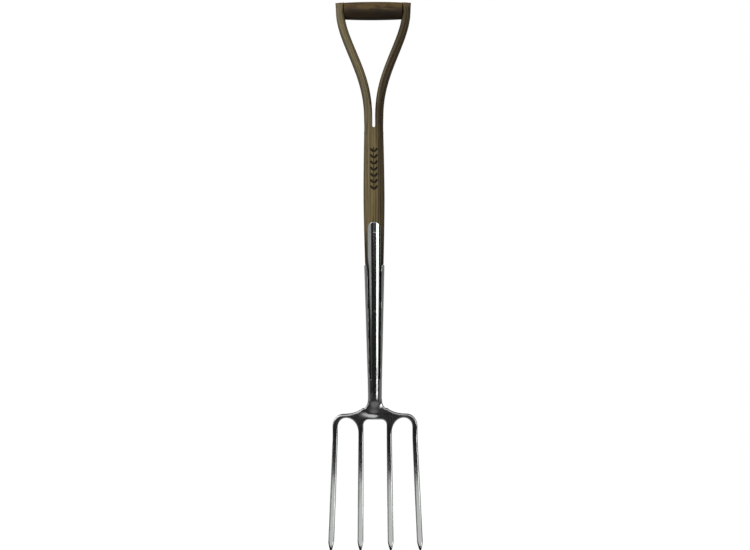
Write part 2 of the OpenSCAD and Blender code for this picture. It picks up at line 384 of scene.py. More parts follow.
ashLook = dict(woodLook, **{
    "light": (0.470, 0.360, 0.165, 1),
    "mid": (0.255, 0.185, 0.072, 1),
    "pore": (0.022, 0.015, 0.008, 1),
    "poreDark": 0.75,
    "ringPitch": 0.0042,
    "ringContrast": 0.34,
    "burnt": (0.012, 0.009, 0.006, 1),
    "grime": (0.05, 0.038, 0.022, 1),
    "rightShade": (0.034, 0.019, 0.008, 1),
    "rightShadeFrom": (0.004, 0.013),        # painted shade, darker on the right of the stick
    "leftSheen": (0.300, 0.275, 0.185, 1),
    "leftSheenTo": (-0.009, 0.001),     # painted sheen, lighter and greyer on the left of the stick
    "armsFrom": (-0.25, -0.16),         # heights between which the stick turns into the arms
    "rim": (0.020, 0.014, 0.007, 1),
    "rimShadeTo": (0.30, 0.80),              # how far a face must turn from the front to get painted shade at the rim
    "socketShade": (0.012, 0.008, 0.005, 1),
    "socketShadeTo": (0.012, 0.085),            # the painted shade beside the socket fades out this far above it
    # painted light: the tops of the arms lighter, where light from above falls
    "litArmTops": (0.260, 0.190, 0.095, 1),
    "litArmTopsFrom": (0.004, 0.012),
    "seam": (0.004, 0.003, 0.002, 1),
    "seamHalf": 0.0008,
})

sprigSet = {
    "middle": -0.2925,          # height of the motif's middle
    "length": 0.080,
    "pitch": 0.0115,            # from one pair of leaves to the next
    "leafLong": 0.0046,
    "leafWide": 0.0022,
    "leafOut": 0.0038,          # a leaf's middle, out from the stem
    "leafEdge": (0.75, 1.15),
    "lean": 38.0,
    "stemEdge": (0.0007, 0.0012),
    "endSoft": 0.0002,
    "frontTo": (-0.006, -0.004),
}


def burntSprig(f, grain, s):
    # a plain ear of leaves burnt into the front of the shaft
    across, depth, along = f.split(grain)
    side = abs(across)
    rise = (along - (s["middle"] - s["length"] / 2)) / s["pitch"]
    inCell = (rise.fraction() - 0.5) * s["pitch"]
    cosLean, sinLean = math.cos(math.radians(s["lean"])), math.sin(math.radians(s["lean"]))
    out = side - s["leafOut"]
    longWay = (out * sinLean + inCell * cosLean) / s["leafLong"]
    wideWay = (out * cosLean - inCell * sinLean) / s["leafWide"]
    leaf = 1 - (longWay * longWay + wideWay * wideWay).between(*s["leafEdge"])
    stem = 1 - side.between(*s["stemEdge"])
    halfLong = s["length"] / 2
    inside = 1 - abs(along - s["middle"]).between(halfLong - s["endSoft"], halfLong + s["endSoft"])
    front = 1 - depth.between(*s["frontTo"])
    return leaf.atLeast(stem) * inside * front


def ashMaterial(s, socketTop):
    f = Finish("oiledAsh", {"Coat Roughness": 0.32, "Specular IOR Level": 0.30})
    grain, colour, pores, streak, early = grainBase(f, s)
    across, _, height = f.split(grain)
    mark = burntSprig(f, grain, sprigSet)
    grime = f.noise(grain, (26, 26, 9), 3.0, 0.6).between(0.52, 0.74)
    wander = f.noise(grain, (30, 30, 6)) - 0.5
    colour = f.blend(colour, s["burnt"], mark * 0.93)
    colour = f.blend(colour, s["grime"], grime * 0.35)
    inArms = height.between(*s["armsFrom"])
    # painted shade: the right of the stick darker, more so on the arms
    rightShade = (across + wander * 0.012 + inArms * 0.006).between(*s["rightShadeFrom"])
    colour = f.blend(colour, s["rightShade"], rightShade * (0.52 + inArms * 0.14))
    # painted sheen: the left of the stick lighter and greyer, more so on the arms, never over the burnt mark
    leftSheen = 1 - (across + wander * 0.010).between(*s["leftSheenTo"])
    colour = f.blend(colour, s["leftSheen"], leftSheen * (0.14 + inArms * 0.22) * (1 - mark))
    # painted shade: the wood darker where its faces turn away from the front
    facing = f.split(f.node("ShaderNodeNewGeometry", out="Normal"))[1]
    rim = 1 - abs(facing).between(*s["rimShadeTo"])
    colour = f.blend(colour, s["rim"], rim * 0.42)
    # painted shade on the wood beside the tongues, just above the socket
    socketShaded = 1 - height.between(socketTop + s["socketShadeTo"][0], socketTop + s["socketShadeTo"][1])
    colour = f.blend(colour, s["socketShade"], socketShaded * 0.85)
    # painted light on the tops of the arms
    colour = f.blend(colour, s["litArmTops"], height.between(*s["litArmTopsFrom"]) * 0.40)
    seated = 1 - height.between(socketTop - s["seamHalf"], socketTop + s["seamHalf"])
    colour = f.blend(colour, s["seam"], seated * 0.9)
    f.feed("Base Color", colour)
    f.feed("Roughness", (0.44 + streak * 0.16 + pores * 0.2 + mark * 0.3).clamped())
    f.feed("Coat Weight", (0.12 - grime * 0.08 - mark * 0.12).clamped())
    f.bump(streak * 0.25 - pores * 0.8 - mark * 1.6 - early * 0.12, 0.00035, 0.7)
    return f.material


shaftSet = {
    "half": 24,                 # quads round half the stick
    "step": 0.003,              # from one ring to the next
    "crotchRadius": 0.0176,
    "bellyRadius": 0.0196,
    "bellyZ": -0.350,
    "bellyPower": 1.4,          # how late the stick thins below its belly
    "wingRadius": 0.0172,
    "tenonFoot": 0.001,         # the tenon ends this far above the neck
    "seamHalf": 0.0003,         # the step from tenon to shaft, up and down from the socket's top
    "seamClear": 0.0012,        # no other ring lies this near the step
    "tenonGap": 0.0001,
    "recessIn": 0.0018,         # a tongue's recess stays this far inside the tongue's edge
    "recessFrom": 0.008,        # and is cut only this far out from the middle
    "stemX": 0.0103,
    "slotHalf": 0.0025,
    "slotTurns": (0.4, 0.8, 1.2, math.pi / 2),      # round the bottom of the slot
    "armRings": 74,
    "firstRise": 0.002,
    "armWidth": 0.0154,
    "armSwell": 0.0012,
    "barBy": 2.6,               # an arm is a full bar after 1 part in 2.6 of its rise
    "roundBy": 12,
    "footDepth": 0.030,
    "topDepth": 0.029,
    "bendZ": -0.202,
    "bendPower": 1.25,
    "crotchZ": -0.2155,
    "spread": 0.0612,
    "squareness": 0.72,
    "topSlope": 0.07,           # the arms' outer faces still lean outwards above the grip
    "topRise": 0.0158,          # the arms' ends are rounded about the grip's axis
    "topTurns": (0.12, 0.26, 0.4, 0.54, 0.68, 0.82, 0.96, 1.1, 1.22, 1.32, 1.36),
    "capScales": (0.97, 0.7, 0.4, 0.12),
    "capLift": 0.00025,
}

socketSet = {
    "wingTop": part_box("rear_strap")[0].z + 0.212,
    "neckTop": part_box("rear_strap")[0].z,
    "tongueTop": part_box("rear_strap")[1].z,
    "wingRadius": 0.0187,
    "wingPast": 0.001,          # the wings' field runs on this far past their radius
    "wingRound": 0.005,         # corners of the wings' tops
    "wingFillet": 0.004,        # from a wing into the back tongue
    "neckRadius": 0.0132,
    "thickness": 0.0024,
    "tongueProud": 0.0007,
    "tongueHalf": 0.0122,
    "waistZ": -0.484,
    "waistHalf": 0.0097,
    "waistRise": 0.034,         # from the waist up to the tongue's full width
    "footHalf": 0.0067,
    "footRound": 0.0003,
    "groove": 0.003,
    "edgeRound": 0.0007,
    "strapRun": 0.012,          # the front strap runs on inside the neck by this
}


def woodRadius(z):
    # the stick swells from the split to its belly and thins again down to the socket
    s, k = shaftSet, socketSet
    upper = np.clip((s["crotchZ"] - z) / (s["crotchZ"] - s["bellyZ"]), 0, 1)
    lower = np.clip((s["bellyZ"] - z) / (s["bellyZ"] - k["wingTop"]), 0, 1)
    swelling = mix(s["crotchRadius"], s["bellyRadius"], np.sin(upper * math.pi / 2))
    thinning = mix(s["bellyRadius"], s["wingRadius"], lower ** s["bellyPower"])
    return np.where(z > s["bellyZ"], swelling, thinning)


def socketRadius(z):
    # the outside of the socket, and of the tongues above it
    k = socketSet
    below = mix(k["wingRadius"], k["neckRadius"], (k["wingTop"] - z) / (k["wingTop"] - k["neckTop"]))
    top = float(woodRadius(np.array(k["tongueTop"]))) + k["tongueProud"]
    above = mix(k["wingRadius"], top, (z - k["wingTop"]) / (k["tongueTop"] - k["wingTop"]))
    return np.where(z < k["wingTop"], below, above)


def strapHalf(z):
    # half width of a strap or its tongue at a height
    k = socketSet
    below = mix(k["waistHalf"], k["footHalf"], (k["waistZ"] - z) / (k["waistZ"] - k["neckTop"]))
    above = mix(k["waistHalf"], k["tongueHalf"], ease((z - k["waistZ"]) / k["waistRise"]))
    half = np.where(z < k["waistZ"], below, above)
    capZ = k["tongueTop"] - k["tongueHalf"]
    cap = np.sqrt(np.clip(k["tongueHalf"] ** 2 - np.clip(z - capZ, 0, None) ** 2, 0, None))
    return np.minimum(half, np.where(z > capZ, cap, farOff))


def armX(z):
    # the middle of the right-hand arm at a height
    s = shaftSet
    bend = mix(s["stemX"], s["spread"], ease(np.clip(1 - z / s["bendZ"], 0, 1) ** s["bendPower"]))
    return np.where(z > 0, s["spread"] + s["topSlope"] * z, bend)


def armRing(z, slotX, full):
    # right-hand arm: half round at the split, then a rounded bar
    s = shaftSet
    half = s["half"]
    up = np.clip((z - s["crotchZ"]) / (s["topRise"] - s["crotchZ"]), 0, 1)
    bar = float(ease(up * s["barBy"])) * float(slotX / s["slotHalf"])
    radius = mix(s["crotchRadius"], s["stemX"] + s["armWidth"] / 2, min(1.0, up * s["roundBy"]))
    width = (s["armWidth"] + s["armSwell"] * math.sin(math.pi * up)) / 2
    depth = mix(s["footDepth"], s["topDepth"], up) / 2 * full
    lean = math.atan(float(armX(z + mm) - armX(z - mm)) / (2 * mm))
    tuck = math.asin(slotX / radius)
    points = []
    for i in range(2 * half):
        if i <= half:
            a = -math.pi / 2 + tuck + (math.pi - 2 * tuck) * i / half
            split = (radius * math.cos(a) - s["stemX"], radius * math.sin(a))
        else:
            split = (slotX - s["stemX"], radius * math.cos(tuck) * (1 - 2 * (i - half) / half))
        a = -math.pi / 2 + math.pi * i / half
        boxy = (width * math.copysign(abs(math.cos(a)) ** s["squareness"], math.cos(a)),
                depth * math.copysign(abs(math.sin(a)) ** s["squareness"], math.sin(a)))
        u, v = mix(split[0], boxy[0], bar), mix(split[1], boxy[1], bar)
        if z > 0 and u < 0:
            # the inner face stays upright beside the grip's shoulder
            u *= 1 + s["topSlope"] * z / width
        place = (float(armX(z)) + u * math.cos(lean), v, z - u * math.sin(lean))
        points.append((place, (u + s["stemX"], v, z)))
    return points


def makeShaft(s, k):
    half = s["half"]
    verts, grain, faces = [], [], []

    def addRing(points):
        first = len(verts)
        for place, wood in points:
            verts.append(place)
            grain.append(wood)
        return list(range(first, first + len(points)))

    def bridge(a, b):
        n = len(a)
        faces.extend((a[i], a[(i + 1) % n], b[(i + 1) % n], b[i]) for i in range(n))

    def recess(x, y, z):
        # the tongues are let into the wood, so the wood steps in behind them
        inTongue = k["wingTop"] < z < k["tongueTop"] and abs(x) < float(strapHalf(z)) - s["recessIn"]
        return float(socketRadius(z)) - k["thickness"] if inTongue and abs(y) > s["recessFrom"] else farOff

    def stickRing(z):
        inSocket = z < k["wingTop"]
        r = float(socketRadius(z)) - k["thickness"] - s["tenonGap"] if inSocket else float(woodRadius(z))
        ring = []
        for i in range(2 * half):
            a = -math.pi / 2 + math.pi * i / half
            x, y = r * math.cos(a), r * math.sin(a)
            cut = min(1.0, recess(x, y, z) / r)
            ring.append(((x * cut, y * cut, z), (x * cut, y * cut, z)))
        return ring

    rings = np.arange(k["neckTop"] + s["tenonFoot"], s["crotchZ"], s["step"])
    levels = [z for z in rings if abs(z - k["wingTop"]) > s["seamClear"]]
    levels += [k["wingTop"] - s["seamHalf"], k["wingTop"] + s["seamHalf"]]
    last = None
    for z in sorted(levels) + [s["crotchZ"]]:
        now = addRing(stickRing(z))
        if last:
            bridge(last, now)
        else:
            faces.append(tuple(reversed(now)))
        last = now
    crotchRing = last

    # the strip along the bottom of the slot belongs to both arms
    slotY = [s["crotchRadius"] * (1 - 2 * j / half) for j in range(1, half)]
    strip = addRing([((0, y, s["crotchZ"]), (0, y, s["crotchZ"])) for y in slotY])

    # height, half the slot and share of the depth, ring by ring up an arm
    slotFoot = [(s["crotchZ"] + s["slotHalf"] * (1 - math.cos(t)), s["slotHalf"] * math.sin(t), 1.0)
                for t in s["slotTurns"]]
    heights = np.linspace(slotFoot[-1][0] + s["firstRise"], 0, s["armRings"])
    straight = [(z, s["slotHalf"], 1.0) for z in heights]
    end = [(s["topRise"] * math.sin(t), s["slotHalf"], math.cos(t)) for t in s["topTurns"]]
    for side in (1, -1):
        edge = crotchRing[:half + 1] if side > 0 else [crotchRing[0]] + crotchRing[:half - 1:-1]
        last = edge + strip
        for z, slotX, full in slotFoot + straight + end:
            ring = [((side * p[0], p[1], p[2]), (side * g[0], g[1], g[2]))
                    for p, g in armRing(z, slotX, full)]
            now = addRing(ring)
            bridge(last, now)
            last = now
        rim = [(np.array(verts[i]), grain[i]) for i in last]
        centre = np.mean([p for p, g in rim], axis=0)
        for scale in s["capScales"]:
            lift = (0, 0, s["capLift"] * (1 - scale))
            now = addRing([(tuple(centre + (p - centre) * scale + lift), g) for p, g in rim])
            bridge(last, now)
            last = now
        faces.append(tuple(last))

    shaft = meshObject("ashShaft", verts, faces)
    storeVector(shaft.data, "grain", grain)
    smooth = shaft.modifiers.new("round", "SUBSURF")
    smooth.levels = smooth.render_levels = 1
    addPiece(shaft, ashMaterial(ashLook, k["wingTop"]), "ash", "ash_shaft")


makeShaft(shaftSet, socketSet)
print("shaft and arms ready")


gripLook = dict(woodLook, **{
    "light": (0.230, 0.140, 0.052, 1),
    "mid": (0.115, 0.070, 0.026, 1),
    "pore": (0.018, 0.013, 0.008, 1),
    "poreDark": 0.8,
    "ringPitch": 0.0036,
    "ringContrast": 0.30,
    "handled": (0.030, 0.021, 0.012, 1),
    "underShade": (0.016, 0.011, 0.006, 1),
    "underShadeTo": (-0.002, 0.004),         # heights about the grip's axis over which the painted shade underneath fades
    # painted light: the top of the grip lighter, where light from above falls
    "wearAndLitTop": (0.260, 0.170, 0.066, 1),
    "litGripTopFrom": (0.003, 0.010),
})


def gripMaterial(s):
    f = Finish("handledAsh", {"Coat Roughness": 0.26, "Specular IOR Level": 0.30})
    grain, colour, pores, streak, _ = grainBase(f, s)
    # wear noise; it also wobbles the edges of the painted shade and the painted light
    wearAndLitTop = f.noise(grain, (38, 38, 24), 3.0, 0.6).between(0.42, 0.72)
    blotch = f.noise(grain, (120, 120, 42), 3.0, 0.6).between(0.44, 0.62)
    colour = f.blend(colour, s["handled"], 0.30 + wearAndLitTop * 0.25)
    height = f.split(grain)[1] + wearAndLitTop * 0.006       # the wood's depth is up and down on the grip
    # painted shade on the underside of the grip
    colour = f.blend(colour, s["underShade"], (1 - height.between(*s["underShadeTo"])) * 0.55)
    # painted light on the top of the grip
    colour = f.blend(colour, s["wearAndLitTop"], height.between(*s["litGripTopFrom"]) * (0.20 + streak * 0.60))
    colour = f.blend(colour, s["pore"], blotch * 0.45)
    f.feed("Base Color", colour)
    f.feed("Roughness", (0.36 + streak * 0.18 + pores * 0.2).clamped())
    f.feed("Coat Weight", (0.12 - wearAndLitTop * 0.08).clamped())
    f.bump(streak * 0.2 - pores * 0.7, 0.0003, 0.6)
    return f.material


gripSet = {
    "middleRadius": 0.0170,
    "endRadius": 0.0157,
    "shoulderRound": 0.0007,
    "barrel": 2.2,              # how late the barrel narrows towards its ends
    "stubRadius": 0.0099,
    "stubLength": 0.0045,
    "stubGap": 0.0005,
    "rings": 49,
    "sides": 64,
}


def makeGrip(s):
    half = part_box("cross_grip")[1].x - s["stubLength"]
    r = s["shoulderRound"]
    body = []
    for x in np.linspace(-half + r, half - r, s["rings"]):
        body.append((mix(s["middleRadius"], s["endRadius"], (abs(x) / half) ** s["barrel"]), x))
    right = []
    for t in np.radians((25, 50, 75)):
        right.append((s["endRadius"] - r * (1 - math.cos(t)), half - r + r * math.sin(t)))
    right += [(s["stubRadius"], half), (s["stubRadius"], half + s["stubLength"] - s["stubGap"])]
    left = [(radius, -x) for radius, x in reversed(right)]
    grip = turned("crossGrip", left + body + right, s["sides"])
    co = vertexArray(grip.data)
    storeVector(grip.data, "grain", np.column_stack((co[:, 1], co[:, 2], co[:, 0])))
    addPiece(grip, gripMaterial(gripLook), "grip_ash", "cross_grip")


makeGrip(gripSet)
print("grip ready")


drawnLook = {
    "tint": (0.42, 0.42, 0.42, 1),
    "rough": 0.30,
    "scuffDark": 0.82,
    "speck": (0.30, 0.27, 0.23, 1),
    "lineScale": (1400, 1400, 26),      # lines drawn along the tool
    "waveScale": 42.0,
    "smearScale": (55, 55, 18),
    "speckScale": 620.0,
}
polishedLook = dict(drawnLook, **{
    "tint": (0.74, 0.77, 0.74, 1),
    "rough": 0.11,
    "forged": (-0.762, -0.715),         # heights between which the crosshead keeps its duller skin
    "forgedFade": (0.012, 0.014),       # below and above them
})


def steelMaterial(name, s):
    f = Finish(name, {"Metallic": 1.0, "Specular IOR Level": 0.5})
    place = f.node("ShaderNodeTexCoord", out="Object")
    lines = f.noise(place, s["lineScale"], 1.0)
    waves = f.noise(place, s["waveScale"])
    smear = f.noise(place, s["smearScale"], 3.0, 0.55)
    speck = f.noise(place, s["speckScale"]).between(0.70, 0.80)
    scuff = smear.between(0.5, 0.78)
    scuffed = tuple(s["scuffDark"] * c for c in s["tint"][:3]) + (1,)
    colour = f.blend(s["tint"], scuffed, scuff * 0.7)
    rough = s["rough"]
    if "forged" in s:
        height = f.split(place)[2]
        (low, high), (fadeLow, fadeHigh) = s["forged"], s["forgedFade"]
        dull = height.between(low - fadeLow, low) * (1 - height.between(high, high + fadeHigh))
        rough = rough + dull * 0.05
        waves = waves + smear * dull * 2.2
    f.feed("Base Color", f.blend(colour, s["speck"], speck * 0.35))
    f.feed("Roughness", (rough + lines * 0.03 + scuff * 0.04 + speck * 0.06).clamped())
    f.bump(waves * 0.6 + lines * 0.006, 0.0011, 0.16)
    return f.material


polished = steelMaterial("polishedSteel", polishedLook)
drawnSteel = steelMaterial("drawnSteel", drawnLook)
print("steels ready")


rodSet = {
    "gripRod": 0.003,
    "crotchRod": 0.002,
    "headOut": 0.0008,          # a peened head's height on the washer
    "dome": 0.000765,
    "headSpread": 1.32,
    "headSeat": 0.0002,
    "burrBevel": 0.00035,
    "burrLip": (0.0012, 0.0001),        # the raised ring round the hole, wide and high
    "sharpAngle": 50,
    "sides": 40,
}


def makeRod(name, cadNode, r, s):
    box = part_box(cadNode)
    face = box[1].x - s["headOut"]
    right = [(r, face - s["headSeat"])]
    for t in np.radians((0, 22, 45, 66, 84)):
        right.append((r * s["headSpread"] * math.cos(t), face + s["dome"] * math.sin(t)))
    left = [(radius, -x) for radius, x in reversed(right)]
    shank = [(r, x) for x in np.linspace(-face + mm, face - mm, 9)]
    rod = turned(name, left + shank + right, s["sides"], (box[0].z + box[1].z) / 2)
    addPiece(rod, drawnSteel, "rivet_steel", cadNode)


def makeBurr(name, cadNode, hole, s):
    low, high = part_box(cadNode)
    outer, z = (high.z - low.z) / 2, (high.z + low.z) / 2
    near, far = (low.x, high.x) if high.x > 0 else (high.x, low.x)
    out = math.copysign(1, far)
    bevel = s["burrBevel"]
    lipWide, lipHigh = s["burrLip"]
    loop = [(hole, near), (outer - bevel, near), (outer, near + out * bevel), (outer, far - out * bevel),
            (outer - bevel, far), (hole + lipWide, far + out * lipHigh), (hole, far)]
    burr = turned(name, loop, s["sides"], z, closed=True)
    burr.data.set_sharp_from_angle(angle=math.radians(s["sharpAngle"]))
    addPiece(burr, drawnSteel, "rivet_steel", cadNode)


makeRod("gripRod", "grip_rod", rodSet["gripRod"], rodSet)
makeRod("crotchRivet", "crotch_rivet", rodSet["crotchRod"], rodSet)
makeBurr("leftGripBurr", "left_grip_burr", rodSet["gripRod"], rodSet)
makeBurr("rightGripBurr", "right_grip_burr", rodSet["gripRod"], rodSet)
makeBurr("leftCrotchBurr", "left_crotch_burr", rodSet["crotchRod"], rodSet)
makeBurr("rightCrotchBurr", "right_crotch_burr", rodSet["crotchRod"], rodSet)
print("rods and burrs ready")


# the head and the socket: each is the zero level of a field of distances, which gives true forging blends

forgeSet = {
    "headVoxel": 0.00088,
    "strapVoxel": 0.0009,
    "probe": 0.00008,           # how far apart the field is read to find its slope
    "normalProbe": 0.0002,
    "longestPull": 0.0008,      # what a point may move in one round
    "leastSlope": 0.2,
}


def roundedPair(a, b, r):
    # two distances joined with a rounded edge of radius r
    qa, qb = a + r, b + r
    outside = np.sqrt(np.clip(qa, 0, None) ** 2 + np.clip(qb, 0, None) ** 2)
    return outside + np.minimum(np.maximum(qa, qb), 0) - r


def smoothUnion(a, b, k):
    # two distances joined with a hollow fillet of about k
    h = np.clip(0.5 + 0.5 * (b - a) / k, 0, 1)
    return mix(b, a, h) - k * h * (1 - h)


def fieldSlope(field, p, step):
    # read at the four corners of a tetrahedron
    slope = np.zeros_like(p)
    for corner in ((1, -1, -1), (-1, -1, 1), (-1, 1, -1), (1, 1, 1)):
        c = np.array(corner, float)
        slope += c * field(p + c * step)[:, None]
    return slope / (4 * step)


def settle(field, p, rounds):
    # draws the points onto the field's surface
    s = forgeSet
    for _ in range(rounds):
        g = fieldSlope(field, p, s["probe"])
        pull = (field(p) / np.maximum((g * g).sum(1), s["leastSlope"]))[:, None] * g
        size = np.linalg.norm(pull, axis=1)[:, None]
        p = p - pull * np.minimum(1.0, s["longestPull"] / np.maximum(size, 1e-9))
    return p


def relax(mesh, p):
    # moves each point halfway to the mean of its neighbours
    edges = np.zeros(len(mesh.edges) * 2, int)
    mesh.edges.foreach_get("vertices", edges)
    a, b = edges.reshape(-1, 2).T
    total, number = np.zeros_like(p), np.zeros(len(p))
    np.add.at(total, a, p[b])
    np.add.at(total, b, p[a])
    np.add.at(number, a, 1)
    np.add.at(number, b, 1)
    return mix(p, total / number[:, None], 0.5)


def forged(name, cadNode, field, voxel):
    # even quads over the CAD solid, drawn onto the field's surface, with the field's own normals
    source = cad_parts[cadNode].data.copy()
    work = bpy.data.objects.new(name + "Work", source)
    bpy.context.scene.collection.objects.link(work)
    remesh = work.modifiers.new("even", "REMESH")
    remesh.mode = "VOXEL"
    remesh.voxel_size = voxel
    remesh.adaptivity = 0.0
    ready = work.evaluated_get(bpy.context.evaluated_depsgraph_get())
    mesh = bpy.data.meshes.new_from_object(ready)
    bpy.data.objects.remove(work)
    p = settle(field, vertexArray(mesh), 4)
    for _ in range(3):
        p = settle(field, relax(mesh, p), 1)
    p = settle(field, p, 3)
    mesh.vertices.foreach_set("co", p.ravel())
    mesh.update()
    mesh.polygons.foreach_set("use_smooth", [True] * len(mesh.polygons))
    g = fieldSlope(field, p, forgeSet["normalProbe"])
    g /= np.linalg.norm(g, axis=1)[:, None]
    mesh.normals_split_custom_set_from_vertices(g.tolist())
    mesh.name = name
    piece = bpy.data.objects.new(name, mesh)
    bpy.context.scene.collection.objects.link(piece)
    print(name, len(p), "points, largest miss", round(float(np.abs(field(p)).max() / mm), 3), "mm")
    return piece


headSet = {
    "shoulderZ": -0.745,
    "neckFootZ": -0.719,
    "neckFootRadius": 0.0126,
    "neckRound": 0.0006,
    "neckRunOn": 1.2,           # the neck keeps narrowing for a fifth of its length past its foot
    "neckStop": 0.0045,         # the neck's own field ends this far above the middle gap
    "squashTo": 0.42,           # the neck flattens, front to back, on its way into the crosshead
    "squashDrop": 0.001,
    "squashOver": 0.026,
    "filletAbove": 0.002,
    "filletBelow": 0.005,
    "filletOver": 0.02,
    "halfWidth": 0.0785,
    "corner": (0.0204, 0.0226),
    "footFlare": (0.0154, 0.0189),
    "flareTo": 234,             # degrees
    "shoulder": (0.0395, 0.0194),
    "shoulderFrom": 208,
    "barThickness": 0.0072,
    "outerHollow": 0.017,       # heights of the two quarters of the round between a pair of tines
    "innerHollow": 0.027,
    "overrun": 0.03,            # the outline runs on this far past the middle and down the tines
    "crossTop": -0.70,
    "rootZ": -0.790,
    "tineDrop": 0.008,          # below the root by this, a tine is worked out on its own
    "taperLead": 0.012,
    "tineWidth": 0.0094,
    "tineEndWidth": 0.011,
    "innerX": 0.0262,
    "innerSplay": 0.0017,
    "outerSplay": 0.0084,
    "gapTopZ": -0.7555,
    "gapRadius": 0.010,
    "apexX": 0.0535,
    "headDepth": 0.0065,
    "thinDrop": 0.012,          # the head thins into the tines from this far below the shoulders
    "thinOver": 0.035,
    "rootDepth": 0.0055,
    "endDepth": 0.0036,
    "rootCrown": 0.0005,
    "endCrown": 0.00015,
    "pointLength": 0.017,
    "pointPower": 1.35,
    "tipHalf": 0.0014,
    "tipFlat": 0.0004,
    "edgeRound": 0.0022,
    "endEdgeRound": 0.0024,
    "edgeShare": 0.8,           # an edge's radius is at most this part of the depth
    "curveRadius": 0.820,
    "hammerMarks": (            # middle, half sizes and depth of each hollow
        (-0.0035, -0.7455, 0.0085, 0.0048, 0.0012),
        (-0.0180, -0.7400, 0.0120, 0.0080, 0.0011),
        (0.0020, -0.7280, 0.0100, 0.0060, 0.0006),
        (-0.0560, -0.7440, 0.0110, 0.0040, 0.0005),
    ),
}
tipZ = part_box("tine_head")[0].z


def tineMiddle(z, rootX, splay):
    return rootX + splay * (headSet["rootZ"] - z) / (headSet["rootZ"] - tipZ)


def tineHalf(z):
    # half the width of a tine, seen from the front, down to its blunt point
    s = headSet
    pointTop = tipZ + s["pointLength"]
    taperTop = s["rootZ"] + s["taperLead"]
    bar = mix(s["tineWidth"], s["tineEndWidth"], (taperTop - z) / (taperTop - pointTop)) / 2
    inPoint = np.clip((pointTop - z) / s["pointLength"], 0, 1)
    return np.where(z > pointTop, bar, mix(s["tineEndWidth"] / 2, s["tipHalf"], inPoint ** s["pointPower"]))


def tineY(z):
    # the tines curve forward on one large radius
    s = headSet
    d = np.clip(s["shoulderZ"] - s["barThickness"] - z, 0, None)
    return -d * d / (2 * s["curveRadius"])


def crossheadOutline(s):
    # right half of the crosshead, seen from the front, with the roots of its tines
    half, top, low = s["halfWidth"], s["shoulderZ"], s["rootZ"] - s["overrun"]
    innerX, outerX = s["innerX"], half - s["tineWidth"] / 2
    near, far = innerX + s["tineWidth"] / 2, half - s["tineWidth"]
    gapX = innerX - s["tineWidth"] / 2
    apex = top - s["barThickness"]
    (flareW, flareH), (shoulderW, shoulderH), (cornerW, cornerH) = s["footFlare"], s["shoulder"], s["corner"]
    outerRise, innerRise, gapR = s["outerHollow"], s["innerHollow"], s["gapRadius"]

    def cutTine(rootX, splay):
        # right and left edge of a tine where the outline leaves it
        middle, wide = float(tineMiddle(low, rootX, splay)), float(tineHalf(low))
        return [(middle + wide, low), (middle - wide, low)]

    points = [(-s["overrun"], s["neckFootZ"])]
    points += arcPoints(s["neckFootRadius"] + flareW, s["neckFootZ"], flareW, flareH, 180, s["flareTo"], 10)
    points += arcPoints(half - cornerW, top + shoulderH, shoulderW, shoulderH, s["shoulderFrom"], 270, 14)
    points += arcPoints(half - cornerW, top - cornerH, cornerW, cornerH, 90, 0, 16)[1:]
    points += [(half, s["rootZ"])] + cutTine(outerX, s["outerSplay"]) + [(far, s["rootZ"])]
    points += arcPoints(s["apexX"], apex - outerRise, far - s["apexX"], outerRise, 0, 90, 12)
    points += arcPoints(s["apexX"], apex - innerRise, s["apexX"] - near, innerRise, 90, 180, 16)[1:]
    points += [(near, s["rootZ"])] + cutTine(innerX, s["innerSplay"]) + [(gapX, s["rootZ"])]
    points += arcPoints(gapX - gapR, s["gapTopZ"] - gapR, gapR, gapR, 0, 90, 10)
    points += [(-s["overrun"], s["gapTopZ"])]
    return np.array(points)


outline = crossheadOutline(headSet)


def outlineDistance(x, z):
    # signed distance to the crosshead's outline, seen from the front
    p = np.column_stack((x, z))
    nearest = np.full(len(p), 1.0)
    inside = np.zeros(len(p), bool)
    for start, stop in zip(outline, np.roll(outline, -1, axis=0)):
        run = stop - start
        rel = p - start
        t = np.clip((rel @ run) / (run @ run), 0, 1)
        nearest = np.minimum(nearest, ((rel - t[:, None] * run) ** 2).sum(1))
        crosses = (start[1] > z) != (stop[1] > z)
        if abs(run[1]) > 1e-12:
            inside ^= crosses & (x < run[0] * (z - start[1]) / run[1] + start[0])
    return np.where(inside, -1, 1) * np.sqrt(nearest)


def strapWall(x, y, z):
    # distance to the middle of the socket's tapered tube, less half its thickness
    k = socketSet
    return np.abs(np.hypot(x, y) - socketRadius(z) + k["thickness"] / 2) - k["thickness"] / 2


def frontStrapField(p):
    k = socketSet
    x, y, z = p.T
    capZ = k["tongueTop"] - k["tongueHalf"]
    sideways = np.abs(x) - strapHalf(np.minimum(z, capZ))
    cap = np.hypot(x, z - capZ) - k["tongueHalf"]
    across = np.maximum(np.where(z > capZ, cap, sideways), y)
    strap = roundedPair(strapWall(x, y, z), across, k["edgeRound"])
    return np.where(z < k["neckTop"] - k["strapRun"], farOff, strap)


